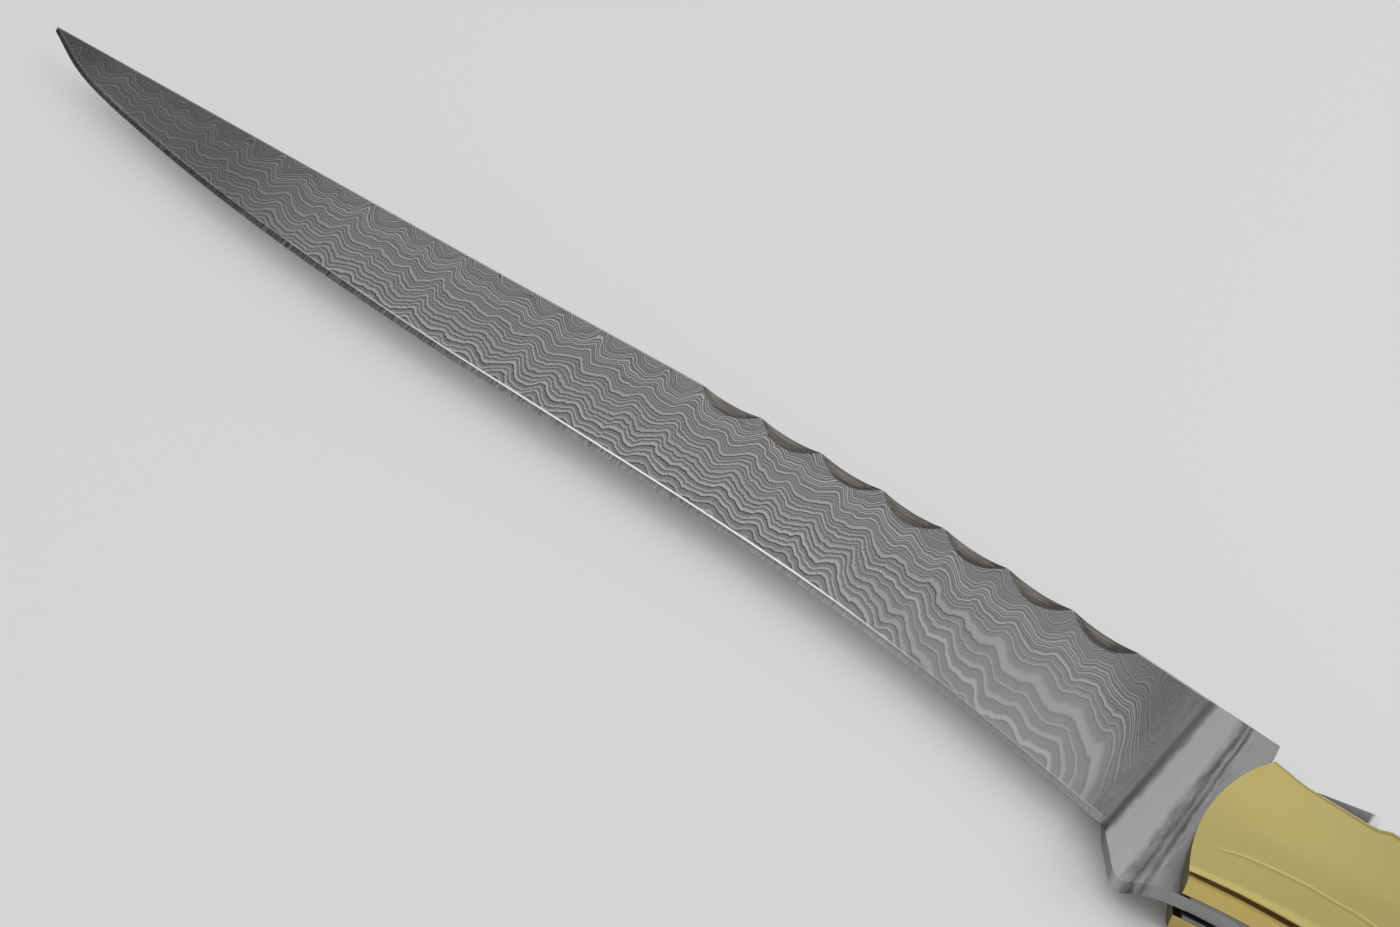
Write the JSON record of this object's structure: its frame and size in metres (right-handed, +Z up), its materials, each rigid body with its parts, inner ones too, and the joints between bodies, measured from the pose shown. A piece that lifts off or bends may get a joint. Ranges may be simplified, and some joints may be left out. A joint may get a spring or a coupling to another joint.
{
  "type": "folding ham knife",
  "caption": "Folding slicing knife lying open: slim pattern-welded blade with filed spine, brass bolsters, hardwood scales, back spring lock and thumb lever.",
  "frame": {"origin": "under the middle of the open knife's box, on the surface that it lies on", "axes": "+X from the blade's tip to the butt, +Y from the cutting edge to the spine, +Z up, out of the side that faces the camera"},
  "size_m": [0.3778, 0.0278, 0.012],
  "materials": {
    "pattern_steel": "etched pattern-welded steel, satin, light and dark layers in waves",
    "plain_steel": "plain polished steel",
    "brass": "polished brass",
    "hardwood": "dark hardwood, oiled, satin"
  },
  "bodies": {
    "handle": {"back_spring": "plain_steel", "pivot_pin": "plain_steel", "lever_pin": "plain_steel", "front_bolster_near": "brass", "front_bolster_far": "brass", "rear_bolster_near": "brass", "rear_bolster_far": "brass", "pivot_washer_near": "brass", "pivot_washer_far": "brass", "scale_rivet_front_near": "brass", "scale_rivet_front_far": "brass", "scale_rivet_rear_near": "brass", "scale_rivet_rear_far": "brass", "spring_rivet_middle": "brass", "spring_rivet_rear": "brass", "scale_near": "hardwood", "scale_far": "hardwood", "liner_near": "plain_steel", "liner_far": "plain_steel"},
    "blade": {"blade": "pattern_steel"},
    "lever": {"lock_lever": "plain_steel"}
  },
  "joints": [
    {"name": "blade_pivot", "type": "hinge", "parent": "handle", "child": "blade", "pos_m": [-0.00755, -0.00219, 0.006], "axis": [0, 0, 1], "range_deg": [0, 182], "deforming": ["back_spring"]},
    {"name": "lever_press", "type": "hinge", "parent": "handle", "child": "lever", "pos_m": [-0.00985, 0.00516, 0.006], "axis": [0, 0, -1], "range_deg": [0, 20], "stiffness_Nm_per_rad": 0.1, "deforming": ["back_spring"]}
  ]
}
